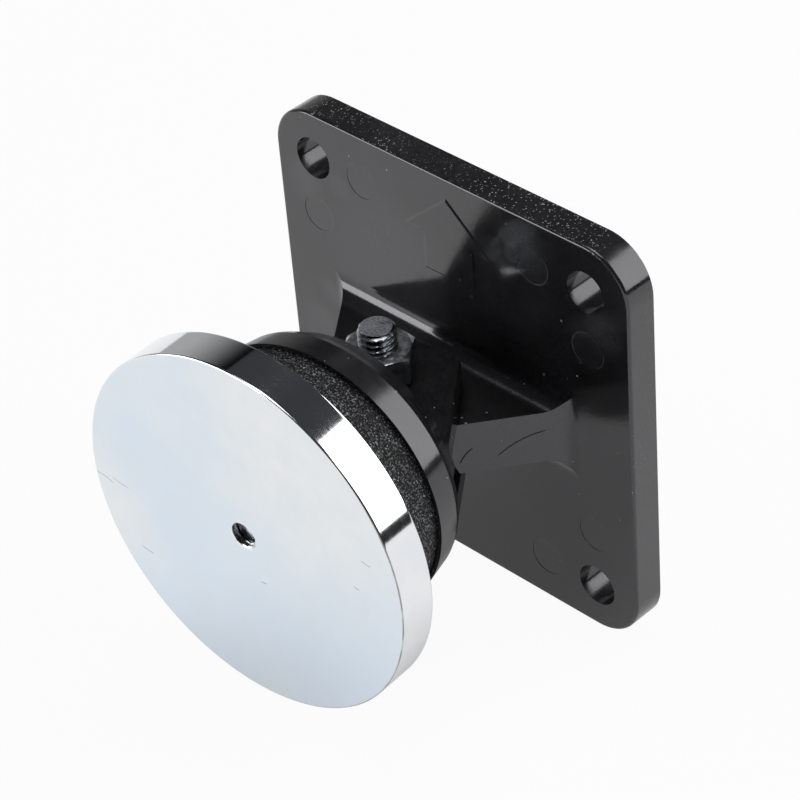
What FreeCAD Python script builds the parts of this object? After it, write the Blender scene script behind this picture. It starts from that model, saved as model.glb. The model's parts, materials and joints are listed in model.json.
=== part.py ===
"""Door keeper for an electromagnetic door holder, as one parametric document.

Frame: the wall is the plane Y = 0 and the keeper reaches out towards -Y, X runs to the right
seen from the door, Z is up. The origin is the middle of the back of the wall plate.
The swivel head and all it carries are drawn about their pivot, with the head facing -Y,
and are then set on the pivot axis and turned a little, as the head was left by hand.
"""
import FreeCAD, Part
import os
import Sketcher

SIZES = [
    # wall plate
    ("plate_size", 71, "side of the square wall plate"),
    ("plate_thickness", 5.4, "from the wall to the front face"),
    ("plate_corner", 8, "corner radius"),
    ("plate_edge_round", 0.5, "round on the front edge"),
    ("skin", 2.4, "front wall over the cored back"),
    ("rim_wall", 2.2, "wall round the cored back"),
    ("rib_thickness", 1.6, "stiffening ribs in the back"),
    ("rib_across", 13, "from the middle to each upright rib"),
    ("rib_up", 10, "from the middle to each level rib"),
    ("screw_pitch", 55, "between the wall screw holes, both ways"),
    ("screw_bore", 7, "wall screw holes"),
    ("screw_boss_wall", 2.4, "wall of the boss round each hole"),
    ("mark_diameter", 6, "ejector pin marks beside the holes"),
    ("mark_depth", 0.06, "depth of those marks"),
    ("mark_inner", 17.3, "their shorter distance from the middle"),
    ("mark_outer", 27.5, "their longer distance from the middle"),
    ("arrow_across", 0.6, "from the middle to the axis of the moulded up arrow"),
    ("arrow_tip", 32.1, "its top"),
    ("arrow_shoulder", 24.3, "height of its shoulders"),
    ("arrow_foot", 17.6, "height of its foot"),
    ("arrow_half_width", 9.1, "half the width over the shoulders"),
    ("arrow_stem_half", 5.2, "half the width of the stem"),
    ("arrow_height", 0.2, "how far the arrow stands out"),
    ("arrow_draft", 60, "degrees that its edges slope"),
    # pedestal and tongue on the plate
    ("pedestal_width", 46.8, "width where it meets the plate"),
    ("pedestal_angle", 37.5, "degrees that each side leans in"),
    ("tongue_thickness", 9.1, "height of the pedestal and its tongue"),
    ("root_fillet", 3.4, "fillet round the root"),
    ("core_wall", 2.2, "wall round the core in the pedestal"),
    ("core_depth", 13, "how far the core reaches from the wall"),
    ("core_web", 2, "web that splits the core"),
    ("pivot_reach", 20.65, "from the wall to the pivot axis"),
    ("head_turn", 6.2, "degrees that the head is turned at rest"),
    # fork of the swivel head
    ("fork_height", 18.1, "over both arms"),
    ("fork_gap", 9.6, "slot between the arms"),
    ("fork_rear_width", 16, "width of the arms at their rear end"),
    ("fork_rear_reach", 9.5, "from the pivot to the rear end"),
    ("fork_front_width", 36.4, "width of the arms at the cup"),
    ("fork_corner", 4, "radius of the rear corners"),
    ("fork_edge_bevel", 0.4, "bevel on the outer edges"),
    ("slot_reach", 9.6, "from the pivot to the floor of the slot"),
    # cup of the swivel head
    ("cup_back_reach", 7.3, "from the pivot to the back of the cup"),
    ("cup_back_diameter", 39.2, "flat back of the cup"),
    ("cup_shoulder_reach", 9.9, "from the pivot to where the shoulder ends"),
    ("cup_shoulder_diameter", 42.5, "diameter there"),
    ("cup_wall_reach", 10.8, "from the pivot to where the wall starts, past a bevel"),
    ("cup_wall_diameter", 43.2, "diameter there"),
    ("cup_lip_reach", 15.4, "from the pivot to the lip"),
    ("cup_lip_diameter", 44.8, "outside of the lip"),
    ("cup_lip_wall", 0.6, "thickness of the lip"),
    ("cup_floor_reach", 13, "from the pivot to the floor under the foam"),
    ("boss_diameter", 15, "boss round the disc screw"),
    ("boss_reach", 18.6, "from the pivot to the front of the boss"),
    ("boss_wall", 2.6, "wall that the screw head pulls on"),
    ("boss_bore", 6.8, "clearance hole for the disc screw"),
    ("screw_pocket", 9.4, "round pocket for the screw head"),
    # pivot bolt and nut
    ("pivot_bolt_diameter", 5.9, "over the thread"),
    ("pivot_clearance", 0.075, "running clearance all round the bolt"),
    ("pivot_bolt_length", 25, "under the head"),
    ("pivot_head_flats", 10, "across the flats of head and nut"),
    ("pivot_head_height", 4, "height of the bolt head"),
    ("pivot_head_sink", 1.6, "how deep the head sits in the lower arm"),
    ("hex_clearance", 0.1, "gap at each flat of the head's seat"),
    ("pivot_nut_height", 5, "height of the nut"),
    ("thread_clearance", 0.03, "gap between a screw and its nut"),
    # foam and disc
    ("foam_outer", 43.4, "outside of the foam ring"),
    ("foam_inner", 18, "hole in the foam ring"),
    ("disc_diameter", 60, "keeper disc"),
    ("disc_thickness", 6.5, "keeper disc"),
    ("disc_reach", 25.4, "from the pivot to the back of the disc"),
    ("disc_lean", 1.8, "degrees that the disc leans back from the head's turn at rest"),
    ("lean_reach", 6, "from the pivot to the point that it leans about"),
    ("disc_chamfer", 0.4, "edges of the disc"),
    # disc screw and washer
    ("disc_screw_diameter", 4.9, "over the thread"),
    ("disc_screw_length", 16, "under the head"),
    ("disc_screw_head_diameter", 7.6, "low round head"),
    ("disc_screw_head", 3.5, "height of the head"),
    ("disc_screw_head_edge", 0.4, "chamfer on the head"),
    ("disc_screw_socket", 3, "across the flats of the hexagon socket"),
    ("disc_screw_socket_depth", 2, "depth of the socket"),
    ("washer_diameter", 8.4, "under the head"),
    ("washer_thickness", 1, "under the head"),
    ("washer_play", 0.3, "gap to the boss, which the foam takes up"),
    ("washer_bore", 5.3, "hole in the washer"),
]

doc = FreeCAD.newDocument("DoorKeeper")


def fill_sheet():
    """One row a size: what it is, its value and the alias that the model uses."""
    sheet = doc.addObject("Spreadsheet::Sheet", "Sizes")
    for row, (alias, value, note) in enumerate(SIZES, start=1):
        sheet.set("A%d" % row, note)
        sheet.set("B%d" % row, str(value))
        sheet.setAlias("B%d" % row, alias)
    doc.recompute()
    return sheet


sheet = fill_sheet()


def sized(text):
    """An expression in which each {alias} stands for that cell of the sheet."""
    return text.replace("{", "Sizes.").replace("}", "")


def new_body(name):
    body = doc.addObject("PartDesign::Body", name)
    body.Label = name
    return body


def new_sketch(body, role, name, offset=None):
    """A sketch on one of the body's own planes, moved along its normal by an expression."""
    sketch = body.newObject("Sketcher::SketchObject", name)
    plane = [item for item in body.Origin.OriginFeatures if item.Role == role][0]
    sketch.AttachmentSupport = (plane, [""])
    sketch.MapMode = "FlatFace"
    if offset is not None:
        sketch.setExpression("AttachmentOffset.Base.z", sized(offset))
    return sketch


def tie(sketch, kind, where, start, text):
    """A dimension that follows an expression."""
    index = sketch.addConstraint(Sketcher.Constraint(kind, *where, start))
    sketch.setExpression("Constraints[%d]" % index, sized(text))


def pin(sketch, item, end, across, up, place):
    """Hold a point at a place given by two expressions, 0 being the axis itself."""
    for kind, axis, text, start in (("DistanceX", -2, across, place.x), ("DistanceY", -1, up, place.y)):
        if text == "0":
            sketch.addConstraint(Sketcher.Constraint("PointOnObject", item, end, axis))
        else:
            tie(sketch, kind, (-1, 1, item, end), start, text)


def polygon(sketch, corners):
    """A closed outline through corners given as pairs of expressions."""
    count = len(corners)
    turn = FreeCAD.Rotation(FreeCAD.Vector(0, 0, 1), 360.0 / count)
    ring = [FreeCAD.Vector(10, 3, 0)]
    while len(ring) < count:
        ring.append(turn.multVec(ring[-1]))
    lines = []
    for number in range(count):
        line = Part.LineSegment(ring[number], ring[(number + 1) % count])
        lines.append(sketch.addGeometry(line, False))
    for number in range(count):
        following = lines[(number + 1) % count]
        sketch.addConstraint(Sketcher.Constraint("Coincident", lines[number], 2, following, 1))
    for line, place, (across, up) in zip(lines, ring, corners):
        pin(sketch, line, 1, across, up, place)


def rectangle(sketch, left, right, low, high):
    polygon(sketch, [(left, low), (right, low), (right, high), (left, high)])


def circle(sketch, diameter, across="0", up="0"):
    centre = FreeCAD.Vector(1, 1, 0)
    ring = sketch.addGeometry(Part.Circle(centre, FreeCAD.Vector(0, 0, 1), 1), False)
    pin(sketch, ring, 3, across, up, centre)
    tie(sketch, "Radius", (ring,), 1, "(" + diameter + ") / 2")


def hexagon(sketch, flats, turned=False):
    """A hexagon about the middle, with two flats facing across, or up and down if turned."""
    half = "(" + flats + ") / 2"
    corner = half + " / cos(30)"
    side = half + " * tan(30)"
    ring = [(half, "-" + side), (half, side), ("0", corner)]
    ring += [("-" + half, side), ("-" + half, "-" + side), ("0", "-" + corner)]
    if turned:
        ring = [(up, across) for across, up in reversed(ring)]
    polygon(sketch, ring)


def pad(body, sketch, length, midplane=False, reverse=False, draft=None):
    feature = body.newObject("PartDesign::Pad", sketch.Name + "Pad")
    feature.Profile = sketch
    feature.setExpression("Length", sized(length))
    if draft is not None:
        feature.setExpression("TaperAngle", sized("-" + draft))
    feature.Midplane = midplane
    feature.Reversed = reverse
    return settle(body, feature, True)


def pocket(body, sketch, length, midplane=False, reverse=False):
    feature = body.newObject("PartDesign::Pocket", sketch.Name + "Pocket")
    feature.Profile = sketch
    feature.setExpression("Length", sized(length))
    feature.Midplane = midplane
    feature.Reversed = reverse
    return settle(body, feature, False)


def turned(body, sketch, kind="PartDesign::Revolution"):
    """A full turn about the sketch's upright axis."""
    feature = body.newObject(kind, sketch.Name + "Turned")
    feature.Profile = sketch
    feature.ReferenceAxis = (sketch, ["V_Axis"])
    feature.Angle = 360
    return settle(body, feature, kind == "PartDesign::Revolution")


def rounded(body, chosen, radius, kind="PartDesign::Fillet"):
    """A fillet or chamfer on the edges of the latest shape that the test picks."""
    base = body.Tip
    edges = ["Edge%d" % number for number, edge in enumerate(base.Shape.Edges, start=1) if chosen(edge)]
    if not edges:
        raise RuntimeError("no edge to round on " + body.Name)
    feature = body.newObject(kind, body.Name + "Edge%d" % len(body.Group))
    feature.Base = (base, edges)
    feature.setExpression("Radius" if kind == "PartDesign::Fillet" else "Size", sized(radius))
    return settle(body, feature, None)


def settle(body, feature, grows):
    """Recompute, and see that the feature added or took away material as it should."""
    earlier = feature.BaseFeature
    before = 0.0 if earlier is None else earlier.Shape.Volume
    body.Tip = feature
    doc.recompute()
    after = feature.Shape.Volume
    if grows is not None and (after > before) != grows:
        raise RuntimeError("%s left %.3f of %.3f" % (feature.Name, after, before))
    return feature


def size(alias):
    """A size from the sheet as a plain number, for choosing edges."""
    return float(sheet.get(alias))


def middle(edge):
    return edge.valueAt((edge.FirstParameter + edge.LastParameter) / 2)


def near(value, target, slack=0.01):
    return abs(value - target) < slack


# places in the sheet's terms that several pieces share
HALF_PLATE = "{plate_size} / 2"
FRONT = "-{plate_thickness}"
HALF_PITCH = "{screw_pitch} / 2"
NOSE_RADIUS = ("(({pedestal_width} / 2 - ({pivot_reach} - {plate_thickness}) * tan({pedestal_angle}))"
               " * cos({pedestal_angle}))")
ARM_TOP = "{fork_height} / 2"
BOLT_SEAT = "({fork_height} / 2 - {pivot_head_sink})"
PIVOT_BORE = "({pivot_bolt_diameter} + 2 * {pivot_clearance})"
BOSS_SEAT = "({boss_reach} - {boss_wall})"
WASHER_BACK = "(" + BOSS_SEAT + " - {washer_play} - {washer_thickness})"


def wall_plate():
    """One moulding: plate, pedestal with its tongue, cored and ribbed back."""
    body = new_body("wall_plate")
    outline = new_sketch(body, "XZ_Plane", "PlateOutline")
    rectangle(outline, "-" + HALF_PLATE, HALF_PLATE, "-" + HALF_PLATE, HALF_PLATE)
    pad(body, outline, "{plate_thickness}")
    edge = size("plate_size") / 2
    corner = lambda e: near(abs(middle(e).x), edge) and near(abs(middle(e).z), edge)
    rounded(body, corner, "{plate_corner}")

    # the pedestal narrows to a tongue with a nose about the pivot
    plan = new_sketch(body, "XY_Plane", "PedestalPlan")
    nose_x = NOSE_RADIUS + " * cos({pedestal_angle})"
    nose_y = "-({pivot_reach} + " + NOSE_RADIUS + " * sin({pedestal_angle}))"
    root_x = "{pedestal_width} / 2"
    polygon(plan, [("-" + root_x, FRONT), ("-" + nose_x, nose_y), (nose_x, nose_y), (root_x, FRONT)])
    pad(body, plan, "{tongue_thickness}", midplane=True)
    nose = new_sketch(body, "XY_Plane", "TongueNose")
    circle(nose, "2 * " + NOSE_RADIUS, "0", "-{pivot_reach}")
    pad(body, nose, "{tongue_thickness}", midplane=True)
    front = -size("plate_thickness")
    reach = size("plate_size") / 2
    root = lambda e: near(middle(e).y, front) and max(abs(middle(e).x), abs(middle(e).z)) < reach * 0.9
    rounded(body, root, "{root_fillet}")
    rim = lambda e: near(middle(e).y, front) and max(abs(middle(e).x), abs(middle(e).z)) > reach * 0.9
    rounded(body, rim, "{plate_edge_round}")

    # the back is hollow, with bosses round the holes and ribs between
    inside = "({plate_size} / 2 - {rim_wall})"
    hollow = new_sketch(body, "XZ_Plane", "BackHollow")
    rectangle(hollow, "-" + inside, inside, "-" + inside, inside)
    depth = "{plate_thickness} - {skin}"
    pocket(body, hollow, depth, reverse=True)
    add_back_ribs(body, inside, depth)
    core_pedestal(body)

    holes = new_sketch(body, "XZ_Plane", "ScrewHoles")
    for across in ("-", ""):
        for up in ("-", ""):
            circle(holes, "{screw_bore}", across + HALF_PITCH, up + HALF_PITCH)
    pocket(body, holes, "{plate_thickness}", reverse=True)
    bore = new_sketch(body, "XY_Plane", "PivotBore")
    circle(bore, PIVOT_BORE, "0", "-{pivot_reach}")
    pocket(body, bore, "2 * {tongue_thickness}", midplane=True)
    add_mould_marks(body)
    return body


def add_back_ribs(body, inside, depth):
    """Bosses round the screw holes, and two ribs each way that tie them to the rim."""
    bosses = new_sketch(body, "XZ_Plane", "ScrewBosses")
    for across in ("-", ""):
        for up in ("-", ""):
            circle(bosses, "{screw_bore} + 2 * {screw_boss_wall}", across + HALF_PITCH, up + HALF_PITCH)
    pad(body, bosses, depth)
    half_rib = "{rib_thickness} / 2"
    for side, name in (("-", "Left"), ("", "Right")):
        rib = new_sketch(body, "XZ_Plane", "UprightRib" + name)
        middle_line = side + "{rib_across}"
        rectangle(rib, middle_line + " - " + half_rib, middle_line + " + " + half_rib, "-" + inside, inside)
        pad(body, rib, depth)
    for side, name in (("-", "Low"), ("", "High")):
        rib = new_sketch(body, "XZ_Plane", "LevelRib" + name)
        middle_line = side + "{rib_up}"
        rectangle(rib, "-" + inside, inside, middle_line + " - " + half_rib, middle_line + " + " + half_rib)
        pad(body, rib, depth)


def core_pedestal(body):
    """Two pockets from the back, one each side of a web, that follow the pedestal's taper."""
    lean = "tan({pedestal_angle})"
    side_wall = "{core_wall} / cos({pedestal_angle})"
    at_wall = "({pedestal_width} / 2 + {plate_thickness} * " + lean + " - " + side_wall + ")"
    at_end = "(" + at_wall + " - {core_depth} * " + lean + ")"
    web = "{core_web} / 2"
    for side, name in (("-", "Left"), ("", "Right")):
        core = new_sketch(body, "XY_Plane", "Core" + name)
        corners = [(side + web, "0"), (side + at_wall, "0"), (side + at_end, "-{core_depth}")]
        corners.append((side + web, "-{core_depth}"))
        polygon(core, corners)
        pocket(body, core, "{tongue_thickness} - 2 * {core_wall}", midplane=True)


def add_mould_marks(body):
    """Shallow ejector pin marks beside each hole, and a flat arrow that points up."""
    marks = new_sketch(body, "XZ_Plane", "EjectorMarks", "{plate_thickness}")
    for across in ("-", ""):
        for up in ("-", ""):
            circle(marks, "{mark_diameter}", across + "{mark_inner}", up + "{mark_outer}")
            circle(marks, "{mark_diameter}", across + "{mark_outer}", up + "{mark_inner}")
    pocket(body, marks, "{mark_depth}")

    arrow = new_sketch(body, "XZ_Plane", "UpArrow", "{plate_thickness}")
    tip, foot, shoulder = "{arrow_tip}", "{arrow_foot}", "{arrow_shoulder}"
    wide, stem = "{arrow_half_width}", "{arrow_stem_half}"
    corners = [("", "0", tip), ("-", wide, shoulder), ("-", stem, shoulder), ("-", stem, foot),
               ("+", stem, foot), ("+", stem, shoulder), ("+", wide, shoulder)]
    polygon(arrow, [("{arrow_across}" + (sign + across if sign else ""), up) for sign, across, up in corners])
    pad(body, arrow, "{arrow_height}", draft="{arrow_draft}")


def swivel_head():
    """One moulding: round cup with a fork behind it that takes the tongue."""
    body = new_body("swivel_head")
    cup = new_sketch(body, "XY_Plane", "CupProfile")
    lip_inside = "{cup_lip_diameter} / 2 - {cup_lip_wall}"
    polygon(cup, [("0", "-{cup_back_reach}"), ("{cup_back_diameter} / 2", "-{cup_back_reach}"),
                  ("{cup_shoulder_diameter} / 2", "-{cup_shoulder_reach}"),
                  ("{cup_wall_diameter} / 2", "-{cup_wall_reach}"),
                  ("{cup_lip_diameter} / 2", "-{cup_lip_reach}"), (lip_inside, "-{cup_lip_reach}"),
                  (lip_inside, "-{cup_floor_reach}"), ("{boss_diameter} / 2", "-{cup_floor_reach}"),
                  ("{boss_diameter} / 2", "-{boss_reach}"), ("0", "-{boss_reach}")])
    turned(body, cup)

    plan = new_sketch(body, "XY_Plane", "ForkPlan")
    rear, front = "{fork_rear_width} / 2", "{fork_front_width} / 2"
    sunk = "-({cup_back_reach} + {cup_shoulder_reach}) / 2"
    polygon(plan, [("-" + rear, "{fork_rear_reach}"), ("-" + front, "-{cup_back_reach}"), ("-" + front, sunk),
                   (front, sunk), (front, "-{cup_back_reach}"), (rear, "{fork_rear_reach}")])
    pad(body, plan, "{fork_height}", midplane=True)
    half_rear = size("fork_rear_width") / 2
    back = size("fork_rear_reach")
    rounded(body, lambda e: near(abs(middle(e).x), half_rear) and near(middle(e).y, back)
            and near(middle(e).z, 0), "{fork_corner}")
    top = size("fork_height") / 2
    edge_front = -size("cup_back_reach")
    rounded(body, lambda e: near(abs(middle(e).z), top) and middle(e).y > edge_front + 0.01,
            "{fork_edge_bevel}", "PartDesign::Chamfer")

    slot = new_sketch(body, "XY_Plane", "ForkSlot")
    wide = "{cup_lip_diameter}"
    rectangle(slot, "-" + wide, wide, "-{slot_reach}", "2 * {fork_rear_reach}")
    pocket(body, slot, "{fork_gap}", midplane=True)

    bore = new_sketch(body, "XY_Plane", "ForkBore")
    circle(bore, PIVOT_BORE)
    pocket(body, bore, "2 * {fork_height}", midplane=True)
    seat = new_sketch(body, "XY_Plane", "BoltSeat", "-" + ARM_TOP)
    hexagon(seat, "{pivot_head_flats} + 2 * {hex_clearance}")
    pocket(body, seat, "{pivot_head_sink}", reverse=True)

    head_room = new_sketch(body, "XZ_Plane", "ScrewPocket")
    circle(head_room, "{screw_pocket}")
    pocket(body, head_room, BOSS_SEAT, reverse=True)
    through = new_sketch(body, "XZ_Plane", "ScrewBore")
    circle(through, "{boss_bore}")
    pocket(body, through, "2 * {boss_reach}", reverse=True)
    return body


def cut_corners(body, name, flats, end, inward):
    """Take the corners off a hexagon at one end, at thirty degrees."""
    cut = new_sketch(body, "XZ_Plane", name)
    start = "(" + flats + ") * 0.49"
    outer = "(" + flats + ") * 0.62"
    drop = "((" + outer + " - " + start + ") * tan(30))"
    polygon(cut, [(start, end), (outer, end), (outer, end + inward + drop)])
    turned(body, cut, "PartDesign::Groove")


def pivot_bolt():
    """Hexagon bolt that stands in the lower arm with its threaded end up."""
    body = new_body("pivot_bolt")
    seat = "-" + BOLT_SEAT
    head = new_sketch(body, "XY_Plane", "BoltHead", seat)
    hexagon(head, "{pivot_head_flats}")
    pad(body, head, "{pivot_head_height}", reverse=True)
    cut_corners(body, "BoltHeadCorners", "{pivot_head_flats}", "(" + seat + " - {pivot_head_height})", " + ")
    shank = new_sketch(body, "XY_Plane", "BoltShank", seat)
    circle(shank, "{pivot_bolt_diameter}")
    pad(body, shank, "{pivot_bolt_length}")
    tip = size("pivot_bolt_length") - size("fork_height") / 2 + size("pivot_head_sink")
    rounded(body, lambda e: near(middle(e).z, tip), "{pivot_bolt_diameter} * 0.1", "PartDesign::Chamfer")
    return body


def pivot_nut():
    body = new_body("pivot_nut")
    blank = new_sketch(body, "XY_Plane", "NutBlank", ARM_TOP)
    hexagon(blank, "{pivot_head_flats}", turned=True)
    pad(body, blank, "{pivot_nut_height}")
    cut_corners(body, "NutTopCorners", "{pivot_head_flats}", "(" + ARM_TOP + " + {pivot_nut_height})", " - ")
    cut_corners(body, "NutFootCorners", "{pivot_head_flats}", "(" + ARM_TOP + ")", " + ")
    bore = new_sketch(body, "XY_Plane", "NutBore", ARM_TOP)
    circle(bore, "{pivot_bolt_diameter} + 2 * {thread_clearance}")
    pocket(body, bore, "{pivot_nut_height}", reverse=True)
    return body


def foam_ring():
    """Open foam between the cup and the disc, which lets the disc tip and settle."""
    body = new_body("foam_ring")
    ring = new_sketch(body, "XZ_Plane", "FoamOutline", "{cup_floor_reach}")
    circle(ring, "{foam_outer}")
    circle(ring, "{foam_inner}")
    pad(body, ring, "{disc_reach}")

    # its front follows the back of the leaning disc
    arm = "({disc_reach} - {lean_reach})"
    cut = new_sketch(body, "XY_Plane", "FoamFront")
    middle_y = "(-{lean_reach} - " + arm + " / cos({disc_lean}))"
    rise = "{foam_outer} * tan({disc_lean})"
    beyond = "-2 * {disc_reach}"
    polygon(cut, [("-{foam_outer}", middle_y + " + " + rise), ("-{foam_outer}", beyond),
                  ("{foam_outer}", beyond), ("{foam_outer}", middle_y + " - " + rise)])
    pocket(body, cut, "2 * {foam_outer}", midplane=True)
    return body


def keeper_disc():
    """Turned steel disc with a tapped hole through the middle."""
    body = new_body("keeper_disc")
    profile = new_sketch(body, "XY_Plane", "DiscProfile")
    bore = "({disc_screw_diameter} / 2 + {thread_clearance})"
    radius, cut = "{disc_diameter} / 2", "{disc_chamfer}"
    back, face = "-{disc_reach}", "-({disc_reach} + {disc_thickness})"
    polygon(profile, [(bore, back), (radius + " - " + cut, back), (radius, back + " - " + cut),
                      (radius, face + " + " + cut), (radius + " - " + cut, face),
                      (bore + " + " + cut, face), (bore, face + " + " + cut)])
    turned(body, profile)
    return body


def disc_screw():
    """Low socket screw from behind, through the boss and into the disc."""
    body = new_body("disc_screw")
    shank = new_sketch(body, "XZ_Plane", "ScrewShank", WASHER_BACK)
    circle(shank, "{disc_screw_diameter}")
    pad(body, shank, "{disc_screw_length}")
    tip = -(size("boss_reach") - size("boss_wall") - size("washer_play") - size("washer_thickness")
            + size("disc_screw_length"))
    rounded(body, lambda e: near(middle(e).y, tip), "{disc_screw_diameter} * 0.1", "PartDesign::Chamfer")
    head = new_sketch(body, "XZ_Plane", "ScrewHead", WASHER_BACK)
    circle(head, "{disc_screw_head_diameter}")
    pad(body, head, "{disc_screw_head}", reverse=True)
    rim = tip + size("disc_screw_length") + size("disc_screw_head")
    rounded(body, lambda e: near(middle(e).y, rim), "{disc_screw_head_edge}", "PartDesign::Chamfer")
    socket = new_sketch(body, "XZ_Plane", "ScrewSocket", WASHER_BACK + " - {disc_screw_head}")
    hexagon(socket, "{disc_screw_socket}", turned=True)
    pocket(body, socket, "{disc_screw_socket_depth}", reverse=True)
    return body


def disc_washer():
    body = new_body("disc_washer")
    ring = new_sketch(body, "XZ_Plane", "WasherOutline", WASHER_BACK)
    circle(ring, "{washer_diameter}")
    circle(ring, "{washer_bore}")
    pad(body, ring, "{washer_thickness}")
    return body


def hang_on_pivot(body, lean="0"):
    """Set a piece that was drawn about the pivot on the pivot axis, turned with the head less its lean."""
    turn = "({head_turn} - " + lean + ")"
    up = FreeCAD.Vector(0, 0, 1)
    body.Placement = FreeCAD.Placement(FreeCAD.Vector(0, 0, 0), FreeCAD.Rotation(up, size("head_turn")))
    body.setExpression("Placement.Base.x", sized("{lean_reach} * (sin({head_turn}) - sin(" + turn + "))"))
    body.setExpression("Placement.Base.y", sized("-{pivot_reach} - {lean_reach} * (cos({head_turn}) - cos("
                                                 + turn + "))"))
    body.setExpression("Placement.Rotation.Angle", sized(turn))


fixed = [wall_plate()]
on_head = [swivel_head(), pivot_bolt(), pivot_nut(), foam_ring()]
on_disc = [keeper_disc(), disc_screw(), disc_washer()]
for piece in on_head:
    hang_on_pivot(piece)
for piece in on_disc:
    hang_on_pivot(piece, "{disc_lean}")
doc.recompute()

for item in doc.Objects:
    if "Invalid" in item.State or "Error" in item.State:
        raise RuntimeError("failed: " + item.Name)
os.makedirs("parts", exist_ok=True)
for piece in fixed + on_head + on_disc:
    shape = piece.Shape
    if shape.isNull() or not shape.isValid() or len(shape.Solids) != 1:
        raise RuntimeError("bad solid: " + piece.Label)
    shape.exportStep("parts/" + piece.Label + ".step")
    print("%-14s volume %9.1f faces %3d" % (piece.Label, shape.Volume, len(shape.Faces)))
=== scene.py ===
"""The keeper of an electromagnetic door holder, dressed and lit like a product photograph."""

import json
import math

import bmesh
import bpy
from mathutils import Matrix, Vector, noise


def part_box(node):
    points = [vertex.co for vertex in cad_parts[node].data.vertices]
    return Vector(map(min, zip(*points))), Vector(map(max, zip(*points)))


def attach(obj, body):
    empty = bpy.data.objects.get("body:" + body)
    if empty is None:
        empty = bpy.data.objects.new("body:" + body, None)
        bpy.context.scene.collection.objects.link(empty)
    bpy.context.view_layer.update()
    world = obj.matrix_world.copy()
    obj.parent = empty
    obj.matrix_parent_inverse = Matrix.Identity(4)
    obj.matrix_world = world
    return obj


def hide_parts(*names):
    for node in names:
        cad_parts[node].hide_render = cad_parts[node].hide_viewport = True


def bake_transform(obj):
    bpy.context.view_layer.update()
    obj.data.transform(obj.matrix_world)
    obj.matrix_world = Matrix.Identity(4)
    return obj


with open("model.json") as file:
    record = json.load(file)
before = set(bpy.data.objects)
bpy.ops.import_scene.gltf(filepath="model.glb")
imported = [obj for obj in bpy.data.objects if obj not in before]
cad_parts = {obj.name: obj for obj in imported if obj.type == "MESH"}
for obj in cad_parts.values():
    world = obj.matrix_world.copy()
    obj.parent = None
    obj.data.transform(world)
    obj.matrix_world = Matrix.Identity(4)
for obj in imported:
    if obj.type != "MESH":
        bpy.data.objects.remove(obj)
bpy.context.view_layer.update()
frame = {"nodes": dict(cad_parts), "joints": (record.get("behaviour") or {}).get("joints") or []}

MM = 0.001
UP = Vector((0, 0, 1))
NODES = frame["nodes"]
JOINTS = {joint["name"]: joint for joint in frame["joints"]}


class Place:
    """Where a group of pieces sits: across, back and up, turned about the upright, with forward as its front."""

    def __init__(self, origin, turn):
        self.origin = origin
        self.turn = turn
        self.across = Vector((math.cos(turn), math.sin(turn), 0))
        self.forward = Vector((math.sin(turn), -math.cos(turn), 0))
        self.matrix = Matrix.Translation(origin) @ Matrix.Rotation(turn, 4, "Z")

    def reach(self, node):
        """How near and how far forward a CAD node reaches."""
        spans = [(vertex.co - self.origin).dot(self.forward) for vertex in NODES[node].data.vertices]
        return min(spans), max(spans)

    def radii(self, node):
        """The smallest and largest distance of a CAD node's corners from the forward axis."""
        found = []
        for vertex in NODES[node].data.vertices:
            offset = vertex.co - self.origin
            found.append((offset - self.forward * offset.dot(self.forward)).length)
        return min(found), max(found)


HEAD_TURN = math.radians(6.2)
TILT_AXIS = Vector(JOINTS["disc_tilt"]["axis"])
HEAD = Place(Vector(JOINTS["head_swivel"]["pos_m"]), HEAD_TURN)
DISC = Place(Vector(JOINTS["disc_tilt"]["pos_m"]), math.atan2(TILT_AXIS.y, TILT_AXIS.x))


# node trees

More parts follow.
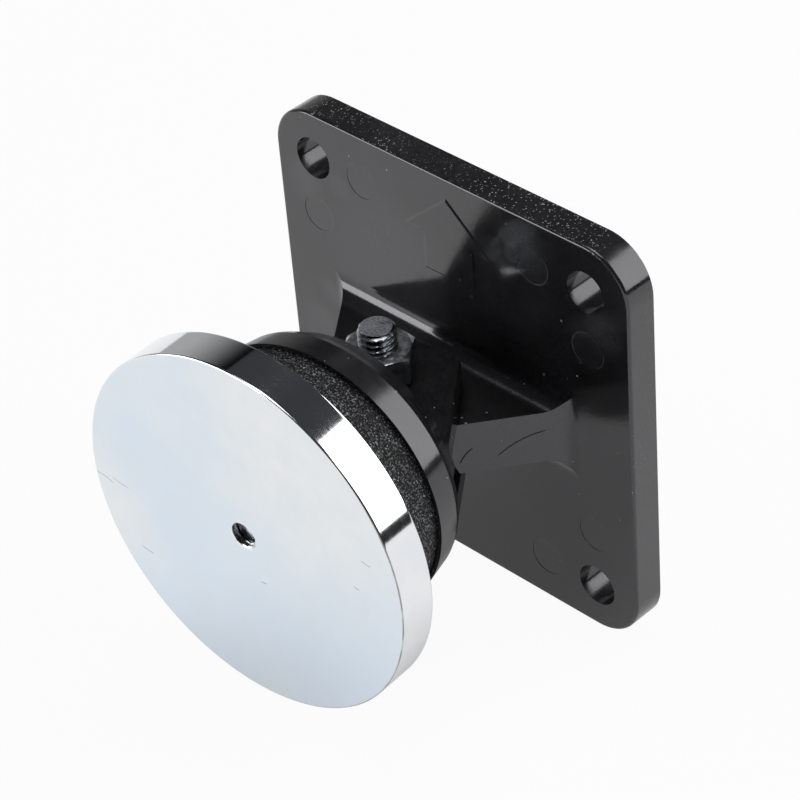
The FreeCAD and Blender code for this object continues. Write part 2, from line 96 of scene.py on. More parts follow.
class Look:
    """A material whose nodes are added one call at a time. Numbers and sockets both go in as inputs."""

    def __init__(self, name):
        self.material = bpy.data.materials.new(name)
        self.material.use_nodes = True
        self.tree = self.material.node_tree
        self.tree.nodes.clear()
        self.output = self.add("ShaderNodeOutputMaterial")
        self.places = self.add("ShaderNodeTexCoord")

    def add(self, kind, inputs=(), **settings):
        node = self.tree.nodes.new(kind)
        for name, value in settings.items():
            setattr(node, name, value)
        for name, value in dict(inputs).items():
            self.feed(node.inputs[name], value)
        return node

    def feed(self, socket, value):
        if isinstance(value, bpy.types.NodeSocket):
            self.tree.links.new(value, socket)
        else:
            socket.default_value = value

    def math(self, operation, first, second=0.0, third=0.0):
        return self.add("ShaderNodeMath", {0: first, 1: second, 2: third}, operation=operation).outputs[0]

    def product(self, *factors):
        result = factors[0]
        for factor in factors[1:]:
            result = self.math("MULTIPLY", result, factor)
        return result

    def largest(self, *values):
        result = values[0]
        for value in values[1:]:
            result = self.math("MAXIMUM", result, value)
        return result

    def span(self, value, low, high, to_low=0.0, to_high=1.0):
        """Value from low to high as a smooth step from to_low to to_high."""
        inputs = {"Value": value, "From Min": low, "From Max": high, "To Min": to_low, "To Max": to_high}
        return self.add("ShaderNodeMapRange", inputs, interpolation_type="SMOOTHSTEP").outputs["Result"]

    def noise(self, scale, detail=4.0, roughness=0.5, where=None):
        inputs = {"Vector": where or self.places.outputs["Object"], "Scale": scale, "Detail": detail,
                  "Roughness": roughness}
        return self.add("ShaderNodeTexNoise", inputs).outputs["Fac"]

    def cells(self, scale, where=None, feature="F1"):
        inputs = {"Vector": where or self.places.outputs["Object"], "Scale": scale}
        return self.add("ShaderNodeTexVoronoi", inputs, feature=feature)

    def mix(self, share, first, second):
        """Two colours mixed by a share."""
        node = self.add("ShaderNodeMix", {0: share}, data_type="RGBA")
        for socket, value in ((node.inputs[6], first), (node.inputs[7], second)):
            self.feed(socket, value if isinstance(value, bpy.types.NodeSocket) else (*value, 1.0))
        return node.outputs[2]

    def bump(self, height, distance, normal=None):
        inputs = {"Height": height, "Distance": distance}
        if normal is not None:
            inputs["Normal"] = normal
        return self.add("ShaderNodeBump", inputs).outputs["Normal"]

    def split(self, vector):
        """The three coordinates of a vector."""
        return self.add("ShaderNodeSeparateXYZ", {0: vector}).outputs

    def join(self, x, y, z):
        return self.add("ShaderNodeCombineXYZ", {0: x, 1: y, 2: z}).outputs[0]

    def along(self, source, direction):
        """How far a texture coordinate goes along a direction."""
        inputs = {0: self.places.outputs[source], 1: direction}
        return self.add("ShaderNodeVectorMath", inputs, operation="DOT_PRODUCT").outputs["Value"]

    def local(self, place):
        """Object coordinates in a place's own frame."""
        inputs = {"Vector": self.places.outputs["Object"], "Location": place.origin,
                  "Rotation": (0, 0, place.turn)}
        return self.add("ShaderNodeMapping", inputs, vector_type="TEXTURE").outputs[0]

    def distance(self, where, point):
        return self.add("ShaderNodeVectorMath", {0: where, 1: point}, operation="DISTANCE").outputs["Value"]

    def ring_line(self, where, centre, radius, width):
        """One on a thin ring or shell about a centre, nothing off it."""
        off = self.math("ABSOLUTE", self.math("SUBTRACT", self.distance(where, centre), radius))
        return self.span(off, width * 0.4, width, 1.0, 0.0)

    def stroke(self, where, middle, centre, length, width):
        """A thin curved line through a middle point, bent about a centre and faded at its ends."""
        radius = (Vector(middle) - Vector(centre)).length
        near = self.span(self.distance(where, middle), length * 0.40, length * 0.52, 1.0, 0.0)
        return self.product(near, self.ring_line(where, centre, radius, width))

    def specks(self, scale, share, size, ragged=0.25):
        """Ragged little flecks in a share of the cells of a given scale."""
        wobble = self.add("ShaderNodeTexNoise", {"Vector": self.places.outputs["Object"], "Scale": scale * 2.2})
        nudge = self.add("ShaderNodeVectorMath", {0: wobble.outputs["Color"], "Scale": ragged / scale},
                         operation="SCALE").outputs[0]
        where = self.add("ShaderNodeVectorMath", {0: self.places.outputs["Object"], 1: nudge}).outputs[0]
        cells = self.cells(scale, where)
        chance = self.add("ShaderNodeSeparateColor", {0: cells.outputs["Color"]}).outputs
        chosen = self.math("GREATER_THAN", chance[0], 1.0 - share)
        reach = self.math("MULTIPLY", self.math("ADD", chance[1], 0.35), size)
        return self.product(chosen, self.math("LESS_THAN", cells.outputs["Distance"], reach))

    def shade(self, **inputs):
        """A principled surface as the result."""
        named = {name.replace("_", " "): value for name, value in inputs.items()}
        shader = self.add("ShaderNodeBsdfPrincipled", named)
        self.tree.links.new(shader.outputs[0], self.output.inputs["Surface"])
        return self.material


# finishes

PLATE_RIM = 35.2 * MM
CUP_DRAFT = 0.185
FLOW_LINES = (((18.8, -11.4, 0.1), (22.3, -6.9, -11.9), 8.7), ((13.8, -18.0, -1.2), (16.3, -14.8, -4.5), 3.4))
SINK_MARKS = (((15.5, -5.4, 30.5), 5.5), ((-31.0, -5.4, 22.0), 5.0), ((-30.0, -5.4, -5.0), 6.0),
              ((31.0, -5.4, 21.5), 5.0), ((-27.0, -5.4, 2.5), 3.5), ((-23.0, -5.4, 24.0), 3.5),
              ((-13.0, -5.4, 15.0), 17.0))
PIN_RADIUS, PIN_NEAR, PIN_FAR = 3.0, 17.3, 27.5


def straight_gloss(look):
    """The cup wall's normal with its draft taken out: its gloss is that of a wall square to the disc."""
    depth = look.split(look.local(HEAD))[1]
    lean = look.along("Normal", HEAD.forward)
    wall = look.product(look.math("GREATER_THAN", depth, -15.6 * MM), look.math("LESS_THAN", depth, -10.7 * MM),
                        look.math("GREATER_THAN", lean, -0.27), look.math("LESS_THAN", lean, -0.08))
    straight = look.add("ShaderNodeVectorMath", {0: HEAD.forward, "Scale": look.math("MULTIPLY", wall, CUP_DRAFT)},
                        operation="SCALE").outputs[0]
    normal = look.add("ShaderNodeVectorMath", {0: look.places.outputs["Normal"], 1: straight}).outputs[0]
    return look.add("ShaderNodeVectorTransform", {0: normal}, vector_type="NORMAL", convert_from="OBJECT",
                    convert_to="WORLD").outputs[0]


def pin_marks(look, where):
    """Inside the ejector pin marks, and on their edges as a ring broken by noise, where a glint is painted."""
    x, y, z = look.split(where)
    across, up = look.math("ABSOLUTE", x), look.math("ABSOLUTE", z)
    inside, edge_glint = 0.0, 0.0
    for first, second in ((PIN_NEAR, PIN_FAR), (PIN_FAR, PIN_NEAR)):
        spot = look.join(across, y, up)
        centre = Vector((first, -5.4, second)) * MM
        away = look.distance(spot, centre)
        inside = look.math("MAXIMUM", inside, look.span(away, (PIN_RADIUS - 0.3) * MM, PIN_RADIUS * MM, 1.0, 0.0))
        edge_glint = look.math("MAXIMUM", edge_glint, look.ring_line(spot, centre, PIN_RADIUS * MM, 0.17 * MM))
    return inside, look.product(edge_glint, look.span(look.noise(220.0, 2.0), 0.42, 0.56))


def moulded_black(name, dust_and_sheen):
    """Glossy black moulding: slight waviness, a very fine skin grain and flecks of settled dust. On the plate,
    painted sheen in soft patches and around the sink marks, and painted glints on the pin marks' edges.
    """
    look = Look(name)
    where = look.places.outputs["Object"]
    facing_up = look.span(look.along("Normal", UP), 0.5, 0.95)
    sparse = look.product(look.specks(1500.0, 0.03, 0.22), look.span(look.noise(45.0, 3.0), 0.42, 0.60))
    dust = sparse
    if dust_and_sheen:
        x, y, z = (look.math("ABSOLUTE", part) for part in look.split(where))
        rim = look.math("GREATER_THAN", look.largest(x, z), PLATE_RIM)
        upward = look.math("ADD", look.math("MULTIPLY", facing_up, 0.75), 0.25)
        patches = look.span(look.noise(75.0, 4.0, 0.65), 0.42, 0.66, 0.15, 1.0)
        lint = look.largest(look.specks(3800.0, 0.20, 0.42, 0.5), look.specks(1900.0, 0.06, 0.24, 0.6))
        dust = look.largest(dust, look.product(rim, upward, patches, lint))
    haze = look.noise(60.0, 5.0, 0.6)
    fine = look.span(look.noise(1500.0, 4.0, 0.7), 0.3, 0.7)
    colour = look.mix(look.product(fine, haze), (0.0100, 0.0100, 0.0110), (0.0330, 0.0330, 0.0355))
    flow = 0.0
    if dust_and_sheen:
        # painted sheen: the plate's colour is lightened in soft patches and around the sink marks, standing in for
        # their gloss
        painted_sheen = look.span(look.noise(26.0, 3.0, 0.5), 0.44, 0.66, 0.0, 0.35)
        for middle, size in SINK_MARKS:
            painted_sheen = look.math("MAXIMUM", painted_sheen, look.span(look.distance(where, Vector(middle) * MM),
                                                        size * 0.3 * MM, size * MM, 1.0, 0.0))
        colour = look.mix(look.math("MULTIPLY", painted_sheen, 0.5), colour, (0.055, 0.055, 0.059))
        for middle, centre, length in FLOW_LINES:
            line = look.stroke(where, Vector(middle) * MM, Vector(centre) * MM, length * MM, 0.15 * MM)
            flow = look.math("MAXIMUM", flow, line)
        inside, edge_glint = pin_marks(look, where)
        colour = look.mix(look.math("MULTIPLY", inside, 0.14), colour, (0.075, 0.075, 0.080))
        # painted highlight: a light glint painted along the pin marks' edges
        colour = look.mix(look.math("MULTIPLY", edge_glint, 0.45), colour, (0.130, 0.130, 0.135))
        colour = look.mix(flow, colour, (0.004, 0.004, 0.004))
    colour = look.mix(look.math("MULTIPLY", dust, 0.75), colour, (0.55, 0.55, 0.54))
    roughness = look.span(look.noise(240.0, 4.0), 0.3, 0.7, 0.10, 0.15)
    roughness = look.math("ADD", roughness, look.product(facing_up, look.span(haze, 0.3, 0.7, 0.03, 0.08)))
    roughness = look.math("MAXIMUM", roughness, look.math("MULTIPLY", dust, 0.7))
    height = look.noise(38.0, 2.0, 0.4)
    if dust_and_sheen:
        for middle, size in SINK_MARKS:
            away = look.distance(where, Vector(middle) * MM)
            height = look.math("ADD", height, look.span(away, 0, size * MM, -0.35, 0.0))
        height = look.math("SUBTRACT", height, look.math("MULTIPLY", flow, 0.12))
    waves = look.bump(height, 0.00018, None if dust_and_sheen else straight_gloss(look))
    grain = look.bump(look.noise(1500.0, 3.0), 0.0000065, waves)
    level = look.math("SUBTRACT", 0.5, look.math("MULTIPLY", flow, 0.42)) if dust_and_sheen else 0.5
    return look.shade(Base_Color=colour, Roughness=roughness, Normal=grain, IOR=1.7,
                      Specular_IOR_Level=level, Specular_Tint=(0.97, 0.96, 1.0, 1.0))


# scratches and small marks on the disc's face: middle, bend centre, length and width, in the disc's frame
SCRATCHES = (((-28.0, -2.3), (-29.5, -9.0), 3.6, 0.10), ((-24.8, -2.2), (-23.0, 7.0), 3.4, 0.09),
             ((-21.0, -13.3), (-20.0, -8.0), 2.4, 0.12), ((23.8, 6.5), (24.5, 11.0), 1.9, 0.10),
             ((21.6, 0.9), (22.0, 3.0), 1.0, 0.12), ((3.1, -7.5), (3.3, -11.0), 1.1, 0.14))


def zinc_disc(name, place):
    """Bright zinc: a satin, cloudy face, a turned rim that mirrors, hairline scratches and pits, with painted shade
    low on the face, on the lower right of its edges and in the bore, and a painted highlight on the hole's lip.
    """
    look = Look(name)
    local = look.local(place)
    x, y, z = look.split(local)
    flat = look.join(x, 0.0, z)
    facing = look.math("ABSOLUTE", look.along("Normal", place.forward))
    face_share = look.span(facing, 0.75, 0.97)

    broad = look.span(look.noise(24.0, 4.0, 0.55), 0.34, 0.66)
    cloud = look.span(look.noise(85.0, 6.0, 0.62), 0.32, 0.68)
    tint = look.mix(broad, (0.715, 0.800, 0.895), (0.850, 0.865, 0.870))
    tint = look.mix(look.math("MULTIPLY", cloud, 0.45), tint, (0.800, 0.855, 0.885))
    # painted shade: the face turns darker and bluer towards its low side
    low = look.span(look.math("SUBTRACT", z, look.math("MULTIPLY", x, 0.3)), -26.0 * MM, 4.0 * MM, 0.55, 0.0)
    tint = look.mix(low, tint, (0.690, 0.790, 0.905))
    warm = look.product(look.span(look.noise(31.0, 3.0, 0.5), 0.56, 0.72), 0.5)
    tint = look.mix(warm, tint, (0.885, 0.865, 0.855))
    blotch = look.span(look.noise(170.0, 6.0, 0.7), 0.35, 0.65)
    tint = look.mix(look.math("MULTIPLY", blotch, 0.22), tint, (0.690, 0.740, 0.800))
    rim_tint = look.mix(cloud, (0.780, 0.805, 0.840), (0.840, 0.850, 0.860))
    colour = look.mix(face_share, rim_tint, tint)

    out = look.distance(flat, (0, 0, 0))
    # painted shade: the rounded edges darkened to grey-brown towards the lower right
    painted_edge_shade = look.product(look.span(facing, 0.10, 0.35), look.span(facing, 0.985, 0.90),
                          look.span(look.math("SUBTRACT", x, z), -6.0 * MM, 14.0 * MM),
                          look.span(look.noise(350.0, 4.0), 0.30, 0.60, 0.45, 0.9))
    colour = look.mix(painted_edge_shade, colour, (0.30, 0.28, 0.26))
    # painted shade: the walls of the tapped bore darkened
    bore = look.product(look.math("LESS_THAN", out, 2.6 * MM), look.math("SUBTRACT", 1.0, face_share))
    colour = look.mix(look.math("MULTIPLY", bore, 0.9), colour, (0.085, 0.085, 0.090))
    # the torn lip round the hole: its bump is the real burr, its lighter colour a painted highlight
    burr_and_glint = look.product(face_share, look.span(out, 2.15 * MM, 2.75 * MM, 1.0, 0.0),
                        look.span(look.noise(900.0, 4.0), 0.40, 0.62))
    colour = look.mix(burr_and_glint, colour, (0.93, 0.93, 0.92))

    marks = [look.specks(420.0, 0.018, 0.13, 0.4)]
    for middle, centre, length, width in SCRATCHES:
        points = [Vector((across, 0, up)) * MM for across, up in (middle, centre)]
        marks.append(look.stroke(flat, points[0], points[1], length * MM, width * MM))
    marked = look.product(look.largest(*marks), face_share)
    colour = look.mix(look.math("MULTIPLY", marked, 0.55), colour, (0.20, 0.21, 0.24))

    satin = look.span(look.noise(300.0, 5.0, 0.6), 0.3, 0.7, 0.20, 0.27)
    streaks = look.noise(1.0, 3.0, 0.6, look.join(look.product(x, 70.0), look.product(y, 5200.0),
                                                  look.product(z, 70.0)))
    turned = look.span(streaks, 0.3, 0.7, 0.050, 0.095)
    roughness = look.math("ADD", look.math("MULTIPLY", face_share, look.math("SUBTRACT", satin, turned)), turned)
    roughness = look.math("ADD", roughness, look.math("MULTIPLY", look.math("MAXIMUM", bore, painted_edge_shade), 0.25))
    crystal = look.math("MULTIPLY", look.noise(1900.0, 4.0, 0.6), look.span(face_share, 0.0, 1.0, 0.25, 1.0))
    crystals = look.bump(crystal, 0.0000032)
    crystals = look.bump(burr_and_glint, 0.00003, crystals)
    normal = look.bump(look.math("MULTIPLY", streaks, look.math("SUBTRACT", 1.0, face_share)), 0.0000006, crystals)
    normal = look.bump(look.math("MULTIPLY", marked, -1.0), 0.00001, normal)
    return look.shade(Base_Color=colour, Roughness=roughness, Normal=normal, Metallic=1.0)


def zinc_fixing(name, cut_level=None):
    """Bright zinc on small fixings, crystalline and a little uneven, with a rough sawn end above a level and painted
    shade in the thread's roots below it.
    """
    look = Look(name)
    cloud = look.span(look.noise(420.0, 5.0, 0.65), 0.3, 0.7)
    colour = look.mix(cloud, (0.42, 0.45, 0.50), (0.88, 0.89, 0.91))
    facing_up = look.span(look.along("Normal", UP), 0.8, 0.97)
    roughness = look.span(look.noise(700.0, 4.0), 0.3, 0.7, 0.09, 0.21)
    roughness = look.math("ADD", roughness, look.math("MULTIPLY", facing_up, 0.13))
    height = look.noise(1500.0, 4.0, 0.6)
    depth = 0.000006
    if cut_level is not None:
        level = look.split(look.places.outputs["Object"])[2]
        x, y, z = look.split(look.local(HEAD))
        out = look.distance(look.join(x, y, 0.0), (0, 0, 0))
        # painted shade: the thread's roots darkened below the cut
        root = look.product(look.math("LESS_THAN", level, cut_level), look.span(out, 2.45 * MM, 2.80 * MM, 0.85, 0.0))
        colour = look.mix(root, colour, (0.045, 0.048, 0.055))
        cut = look.product(look.math("GREATER_THAN", level, cut_level), facing_up)
        grit = look.span(look.noise(3400.0, 3.0, 0.7), 0.38, 0.62)
        colour = look.mix(cut, colour, look.mix(grit, (0.20, 0.21, 0.23), (0.44, 0.45, 0.48)))
        roughness = look.math("ADD", roughness, look.math("MULTIPLY", cut, 0.15))
        height = look.math("ADD", height, look.product(cut, grit, 2.0))
    normal = look.bump(height, depth)
    return look.shade(Base_Color=colour, Roughness=roughness, Normal=normal, Metallic=1.0)


def foam_black():
    """Open black foam: dark cells with greyer struts, and glints painted on them as bright flecks."""
    look = Look("foam_black")
    struts = look.cells(2500.0, feature="DISTANCE_TO_EDGE").outputs["Distance"]
    strut = look.span(struts, 0.02, 0.18, 1.0, 0.0)
    fleck = look.span(look.noise(3300.0, 3.0, 0.7), 0.50, 0.58)
    mottle = look.span(look.noise(500.0, 3.0), 0.3, 0.7, 0.5, 1.0)
    # painted highlight: bright flecks on the struts stand in for glints
    strut_glints = look.product(strut, fleck, mottle)
    colour = look.mix(strut_glints, (0.002, 0.002, 0.003), (0.80, 0.81, 0.84))
    normal = look.bump(look.math("ADD", strut, fleck), 0.00022)
    return look.shade(Base_Color=colour, Roughness=0.62, Normal=normal)


# meshes

def new_piece(name, vertices, faces, material, body=None, sharp=None):
    """A mesh piece with its faces turned outward and, past an angle, crisp edges."""
    mesh = bpy.data.meshes.new(name)
    mesh.from_pydata(vertices, [], faces)
    shape = bmesh.new()
    shape.from_mesh(mesh)
    bmesh.ops.recalc_face_normals(shape, faces=shape.faces)
    shape.to_mesh(mesh)
    shape.free()
    mesh.materials.append(material)
    mesh.shade_smooth()
    if sharp is not None:
        mesh.set_sharp_from_angle(angle=math.radians(sharp))
    piece = bpy.data.objects.new(name, mesh)
    bpy.context.scene.collection.objects.link(piece)
    if body is not None:
        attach(piece, body)
    return piece


def grid_faces(rows, columns, first=0, closed=False):
    """Quads of a grid whose rows close on themselves, and whose last row may meet its first."""
    faces = []
    for row in range(rows if closed else rows - 1):
        low = first + row * columns
        high = first + (row + 1) % rows * columns
        for column in range(columns):
            after = (column + 1) % columns
            faces.append((low + column, low + after, high + after, high + column))
    return faces


def fan(faces, centre, first, columns):
    """Close a ring of corners onto a centre."""
    for column in range(columns):
        faces.append((centre, first + (column + 1) % columns, first + column))


def around(columns):
    """Each column's share of a turn, with its cosine and sine."""
    for column in range(columns):
        turn = column / columns
        yield turn, math.cos(turn * math.tau), math.sin(turn * math.tau)


def thread_depth(phase):
    """Share of the thread's depth at a phase of its pitch: flat crest, straight flanks, round root."""
    crest, root = 0.14, 0.22
    away = abs(phase % 1.0 - 0.5) * 2
    slope = (1 - away - crest) / (1 - crest - root)
    return max(0.0, min(1.0, slope))


def place_all(vertices, matrix):
    return [matrix @ Vector(vertex) for vertex in vertices]


BOLT_COLUMNS = 132
BOLT_PITCH = 1.0 * MM
BOLT_THREAD = 0.58 * MM
BOLT_TIP = 0.42 * MM
BOLT_HEAD = 4.0 * MM
HEX_CUT = math.radians(30)


def hexagon_head(apothem, low, high):
    """Rings of a hexagon head below a shank, its free face at low with turned corners."""
    flat_circle = apothem * 0.97
    rings = [[], [], []]
    for turn, across, up in around(BOLT_COLUMNS):
        within = (turn * math.tau + math.pi / 6) % (math.pi / 3) - math.pi / 6
        corner = apothem / math.cos(within)
        drop = (corner - flat_circle) * math.tan(HEX_CUT)
        for ring, radius, level in zip(rings, (flat_circle, corner, corner), (low, low + drop, high)):
            ring.append((radius * across, radius * up, level))
    return rings[0] + rings[1] + rings[2]


def pivot_bolt(material):
    """The upright bolt with its real thread and hexagon head."""
    foot, tip = (corner.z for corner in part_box("pivot_bolt"))
    seat = foot + BOLT_HEAD
    radius = max((vertex.co - HEAD.origin).xy.length for vertex in NODES["pivot_bolt"].data.vertices
                 if vertex.co.z > seat + BOLT_HEAD)
    apothem = 5.0 * MM
    vertices = hexagon_head(apothem, foot, seat)
    faces = grid_faces(3, BOLT_COLUMNS)
    top_ring = 2 * BOLT_COLUMNS
    vertices += [(0, 0, foot), (0, 0, seat)]
    fan(faces, len(vertices) - 2, 0, BOLT_COLUMNS)
    fan(faces, len(vertices) - 1, top_ring, BOLT_COLUMNS)
    first = len(vertices)
    rows = int((tip - seat) / BOLT_PITCH * 16) + 1
    for row in range(rows):
        level = seat + (tip - seat) * row / (rows - 1)
        for turn, across, up in around(BOLT_COLUMNS):
            here = radius - BOLT_THREAD * thread_depth(level / BOLT_PITCH - turn)
            here = min(here, radius - BOLT_TIP + (tip - level))
            vertices.append((here * across, here * up, level))
    faces += grid_faces(rows, BOLT_COLUMNS, first)
    vertices.append((0, 0, tip))
    fan(faces, len(vertices) - 1, first + (rows - 1) * BOLT_COLUMNS, BOLT_COLUMNS)
    vertices.append((0, 0, seat))
    fan(faces, len(vertices) - 1, first, BOLT_COLUMNS)
    piece = new_piece("pivot_bolt_threaded", place_all(vertices, HEAD.matrix), faces, material, "head", sharp=35)
    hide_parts("pivot_bolt")


DISC_COLUMNS = 240
DISC_ROUND, DISC_ROUND_OUT = 0.20 * MM, 0.32 * MM
DISC_SPARE = 0.12 * MM
DISC_PITCH = 0.8 * MM
DISC_THREAD = 0.52 * MM
DISC_LEAD = 0.14 * MM


def keeper_disc(material):
    """The turned disc: rounded edges, and a tapped hole with a countersunk, slightly torn lip."""
    back, face = DISC.reach("keeper_disc")
    bore, outer = DISC.radii("keeper_disc")
    rows = int((face - back) / DISC_PITCH * 10) + 1
    vertices = []
    for row in range(rows):
        depth = back + (face - back) * row / (rows - 1)
        for turn, across, up in around(DISC_COLUMNS):
            torn = 0.12 * MM * noise.noise(Vector((across, up, 0)) * 3.1)
            here = bore - DISC_THREAD * thread_depth(depth / DISC_PITCH + turn)
            lead = bore - DISC_THREAD + DISC_LEAD
            here = max(here, lead + torn - (face - depth), bore + DISC_LEAD - (depth - back))
            vertices.append((here * across, -depth, here * up))
    outer -= DISC_SPARE
    corner = [(math.cos(math.radians(a)), math.sin(math.radians(a))) for a in (90, 67.5, 45, 22.5, 0)]
    profile = [(bore + 0.9 * MM, face), (outer - 2 * DISC_ROUND_OUT, face)]
    profile += [(outer - DISC_ROUND_OUT * (1 - c), face - DISC_ROUND * (1 - s)) for c, s in corner]
    profile += [(outer, face - 2 * DISC_ROUND), (outer, back + 2 * DISC_ROUND)]
    profile += [(outer - DISC_ROUND_OUT * (1 - c), back + DISC_ROUND * (1 - s)) for c, s in reversed(corner)]
    profile += [(outer - 2 * DISC_ROUND_OUT, back), (bore + 0.9 * MM, back)]
    for radius, depth in profile:
        vertices += [(radius * across, -depth, radius * up) for turn, across, up in around(DISC_COLUMNS)]
    faces = grid_faces(rows + len(profile), DISC_COLUMNS, closed=True)
    piece = new_piece("keeper_disc_turned", place_all(vertices, DISC.matrix), faces, material, "disc", sharp=40)
    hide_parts("keeper_disc")


FOAM_COLUMNS = 900
FOAM_ROWS = 80
FOAM_SWELL, FOAM_SWELL_RUN = 0.45 * MM, 0.6 * MM


def foam_ring(material):
    """The foam between cup and disc: a ring with an uneven, cut open surface."""
    back = HEAD.reach("foam_ring")[0]
    lip = HEAD.reach("swivel_head")[1]
    inner, outer = HEAD.radii("foam_ring")
    disc_back = DISC.origin + DISC.forward * DISC.reach("keeper_disc")[0]
    slope = HEAD.forward.dot(DISC.forward)

    def front(out):
        """How far forward the leaning disc's back is from a spot across the ring."""
        spot = HEAD.origin + HEAD.across * out.x + UP * out.z
        return (disc_back - spot).dot(DISC.forward) / slope

    vertices = []
    for row in range(FOAM_ROWS):
        share = row / (FOAM_ROWS - 1)
        ease = 0.10 * MM * max(0.0, 1 - min(row, FOAM_ROWS - 1 - row) / 4)
        for turn, across, up in around(FOAM_COLUMNS):
            out = Vector((across, 0, up))
            depth = back + (front(out * outer) - back) * share
            past_lip = max(0.0, min(1.0, (depth - lip) / FOAM_SWELL_RUN))
            swell = FOAM_SWELL * past_lip * (2 - past_lip)
            spot = out * (outer - 0.14 * MM) + Vector((0, -depth, 0))
            pits = noise.voronoi(spot * 1900)[0]
            rough = 0.11 * MM * (pits[1] - pits[0] - 0.45) + 0.07 * MM * noise.noise(spot * 300)
            vertices.append(spot + out * (rough + swell - ease))
    for end in (1, 0):
        for turn, across, up in around(FOAM_COLUMNS):
            out = Vector((across, 0, up)) * inner
            vertices.append(out + Vector((0, -(back + (front(out) - back) * end), 0)))
    faces = grid_faces(FOAM_ROWS + 2, FOAM_COLUMNS, closed=True)
    piece = new_piece("foam_ring_open", place_all(vertices, HEAD.matrix), faces, material, sharp=60)
    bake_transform(piece)
    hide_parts("foam_ring")


PLATE_CORNER, CORNER_CENTRE = 8.0 * MM, 27.5 * MM
CORNER_INSIDE = 5.8 * MM
CORNER_BACK, CORNER_SKIN = 0.02 * MM, 3.05 * MM
CORNER_STEPS = 14


def plate_corners(material):
    """Fill between each boss and the plate's round corner, where the solid's cored back is a little open."""
    vertices, faces = [], []
    for corner in range(4):
        start = corner * math.pi / 2
        centre = Vector((CORNER_CENTRE, 0, CORNER_CENTRE)) @ Matrix.Rotation(start, 3, "Y")
        first = len(vertices)
        for step in range(CORNER_STEPS + 1):
            turn = math.pi / 2 * step / CORNER_STEPS
            out = Vector((math.cos(turn), 0, math.sin(turn))) @ Matrix.Rotation(start, 3, "Y")
            for radius, depth in ((CORNER_INSIDE, CORNER_BACK), (PLATE_CORNER - 0.02 * MM, CORNER_BACK),
                                  (PLATE_CORNER - 0.02 * MM, CORNER_SKIN), (CORNER_INSIDE, CORNER_SKIN)):
                vertices.append(centre + out * radius - Vector((0, depth, 0)))
        faces += grid_faces(CORNER_STEPS + 1, 4, first)
        last = first + CORNER_STEPS * 4
        faces += [(first, first + 3, first + 2, first + 1), (last, last + 1, last + 2, last + 3)]
    piece = new_piece("plate_corner_walls", vertices, faces, material, "base", sharp=30)


def dress(node, material):
    """Give a CAD node its finish."""
    mesh = NODES[node].data
    mesh.materials.clear()
    mesh.materials.append(material)


# stage

CAMERA_PLACE = Vector((267.28, -262.83, 284.85)) * MM
CAMERA_AZIMUTH, CAMERA_ELEVATION, CAMERA_ROLL = 47.427, 37.945, -5.053
LENS = 138.8


def add_camera():
    azimuth, elevation, roll = (math.radians(a) for a in (CAMERA_AZIMUTH, CAMERA_ELEVATION, CAMERA_ROLL))
    back = Vector((math.sin(azimuth) * math.cos(elevation), -math.cos(azimuth) * math.cos(elevation),
                   math.sin(elevation)))
    right = UP.cross(back).normalized()
    level = Matrix((right, back.cross(right), back)).transposed().to_4x4()
    camera = bpy.data.objects.new("camera", bpy.data.cameras.new("camera"))
    camera.data.lens = LENS
    camera.data.clip_start = 0.01
    camera.matrix_world = Matrix.Translation(CAMERA_PLACE) @ level @ Matrix.Rotation(roll, 4, "Z")
    bpy.context.scene.collection.objects.link(camera)
    bpy.context.scene.camera = camera


def toward(azimuth, elevation):
    """A direction, with azimuth from +Y towards +X, in degrees."""
    turn, rise = math.radians(azimuth), math.radians(elevation)
    return Vector((math.sin(turn) * math.cos(rise), math.cos(turn) * math.cos(rise), math.sin(rise)))


def add_softbox(name, azimuth, elevation, distance, width, height, radiance):
    """A rectangular lamp that faces the object, as bright as radiance over its face."""
    lamp = bpy.data.lights.new(name, "AREA")
    lamp.shape = "RECTANGLE"
    lamp.size, lamp.size_y = width, height
    lamp.energy = radiance * math.pi * width * height
    holder = bpy.data.objects.new(name, lamp)
    direction = toward(azimuth, elevation)
    holder.location = direction * distance
    holder.rotation_euler = direction.to_track_quat("Z", "Y").to_euler()
    holder.visible_camera = False
    bpy.context.scene.collection.objects.link(holder)


def add_card(name, azimuth, elevation, distance, width, height, material):
    """A card that only reflections see, such as a side wall of the studio."""
    half_width, half_height = width / 2, height / 2
    corners = [Vector((x, y, 0)) for x, y in ((-half_width, -half_height), (half_width, -half_height),
                                              (half_width, half_height), (-half_width, half_height))]
    mesh = bpy.data.meshes.new(name)
    mesh.from_pydata(corners, [], [(0, 1, 2, 3)])
    mesh.materials.append(material)
    card = bpy.data.objects.new(name, mesh)
    card.location = toward(azimuth, elevation) * distance
    card.rotation_euler = toward(azimuth, 0).to_track_quat("Z", "Y").to_euler()
    for ray in ("camera", "diffuse", "shadow", "transmission"):
        setattr(card, "visible_" + ray, False)
    bpy.context.scene.collection.objects.link(card)


def card_glow(name, low, high, low_glow, high_glow):
    """A card's brightness, from a lower to an upper height of its own."""
    look = Look(name)
    strength = look.span(look.split(look.places.outputs["Object"])[1], low, high, low_glow, high_glow)
    glow = look.add("ShaderNodeEmission", {"Strength": strength})
    look.tree.links.new(glow.outputs[0], look.output.inputs["Surface"])
    return look.material


CAMERA_WHITE = 0.95
FAR_GLOSS, NEAR_GLOSS = 0.88, 0.45
SHADE_CENTRE = Vector((4, -24, 0)) * MM
SHADE_NEAR, SHADE_FAR = 18 * MM, 62 * MM


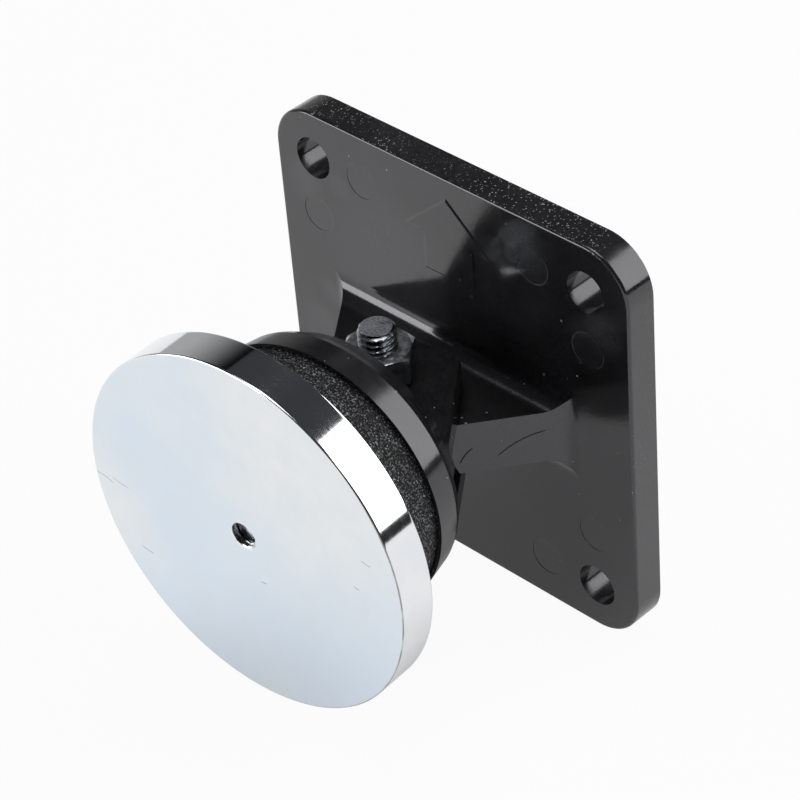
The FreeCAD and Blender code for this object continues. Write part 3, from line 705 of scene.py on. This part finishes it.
def floor_white():
    """A white floor that keeps some of the object's real shadow where the camera and gloss see it; to gloss it is
    also painted darker near the object, as shade.
    """
    look = Look("floor_white")
    rays = look.add("ShaderNodeLightPath").outputs
    x, y, z = look.split(look.places.outputs["Object"])
    away = look.distance(look.join(x, y, 0.0), SHADE_CENTRE)
    # painted shade: to gloss the floor darkens towards SHADE_CENTRE, near the object
    gloss = look.span(away, SHADE_NEAR, SHADE_FAR, NEAR_GLOSS, FAR_GLOSS)
    share = look.largest(look.product(rays["Is Camera Ray"], CAMERA_WHITE),
                         look.product(rays["Is Transmission Ray"], CAMERA_WHITE),
                         look.product(rays["Is Glossy Ray"], gloss))
    diffuse = look.add("ShaderNodeBsdfDiffuse", {"Color": (0.86, 0.86, 0.86, 1)})
    glow = look.add("ShaderNodeEmission", {"Color": (1, 1, 1, 1), "Strength": 1.0})
    mixed = look.add("ShaderNodeMixShader", {0: share})
    look.tree.links.new(diffuse.outputs[0], mixed.inputs[1])
    look.tree.links.new(glow.outputs[0], mixed.inputs[2])
    look.tree.links.new(mixed.outputs[0], look.output.inputs["Surface"])
    return look.material


def add_floor():
    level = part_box("wall_plate")[0].z
    side = 2.5
    mesh = bpy.data.meshes.new("floor")
    mesh.from_pydata([(-side, -side, level), (side, -side, level), (side, side, level), (-side, side, level)],
                     [], [(0, 1, 2, 3)])
    mesh.materials.append(floor_white())
    floor = bpy.data.objects.new("floor", mesh)
    bpy.context.scene.collection.objects.link(floor)


def add_world():
    """White to the camera, a dim room to everything else."""
    world = bpy.data.worlds.new("room")
    bpy.context.scene.world = world
    world.use_nodes = True
    tree = world.node_tree
    tree.nodes.clear()
    rays = tree.nodes.new("ShaderNodeLightPath")
    room = tree.nodes.new("ShaderNodeBackground")
    room.inputs["Color"].default_value = (0.5, 0.52, 0.58, 1)
    room.inputs["Strength"].default_value = 0.085
    white = tree.nodes.new("ShaderNodeBackground")
    white.inputs["Color"].default_value = (1, 1, 1, 1)
    mixed = tree.nodes.new("ShaderNodeMixShader")
    output = tree.nodes.new("ShaderNodeOutputWorld")
    tree.links.new(rays.outputs["Is Camera Ray"], mixed.inputs[0])
    tree.links.new(room.outputs[0], mixed.inputs[1])
    tree.links.new(white.outputs[0], mixed.inputs[2])
    tree.links.new(mixed.outputs[0], output.inputs["Surface"])


plate_black = moulded_black("moulded_plate", dust_and_sheen=True)
head_black = moulded_black("moulded_head", dust_and_sheen=False)
fixing = zinc_fixing("zinc_fixing")
dress("wall_plate", plate_black)
plate_corners(plate_black)
dress("swivel_head", head_black)
dress("pivot_nut", fixing)
dress("disc_screw", fixing)
dress("disc_washer", fixing)
pivot_bolt(zinc_fixing("zinc_bolt", cut_level=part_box("pivot_bolt")[1].z - 0.05 * MM))
keeper_disc(zinc_disc("zinc_disc", DISC))
foam_ring(foam_black())

add_camera()
add_floor()
add_world()
add_softbox("softbox_right", 33, 27, 0.75, 0.70, 0.66, 3.0)
add_softbox("softbox_front", -144, 11, 0.95, 0.65, 0.40, 4.6)
add_softbox("softbox_top", -60, 80, 1.0, 0.6, 0.6, 3.0)
add_card("card_left", -75, 0, 0.9, 1.2, 1.7, card_glow("card_left_glow", 0.1, 0.85, 0.42, 0.0))
add_card("card_skirt", 40, 0, 0.62, 0.9, 0.075, card_glow("card_skirt_glow", 0.0, 0.5, 0.02, 0.02))
add_card("card_slit", -36, 49, 0.8, 0.05, 0.08, card_glow("card_slit_glow", 0.0, 0.5, 0.3, 0.3))

bpy.context.scene.view_settings.view_transform = "Standard"
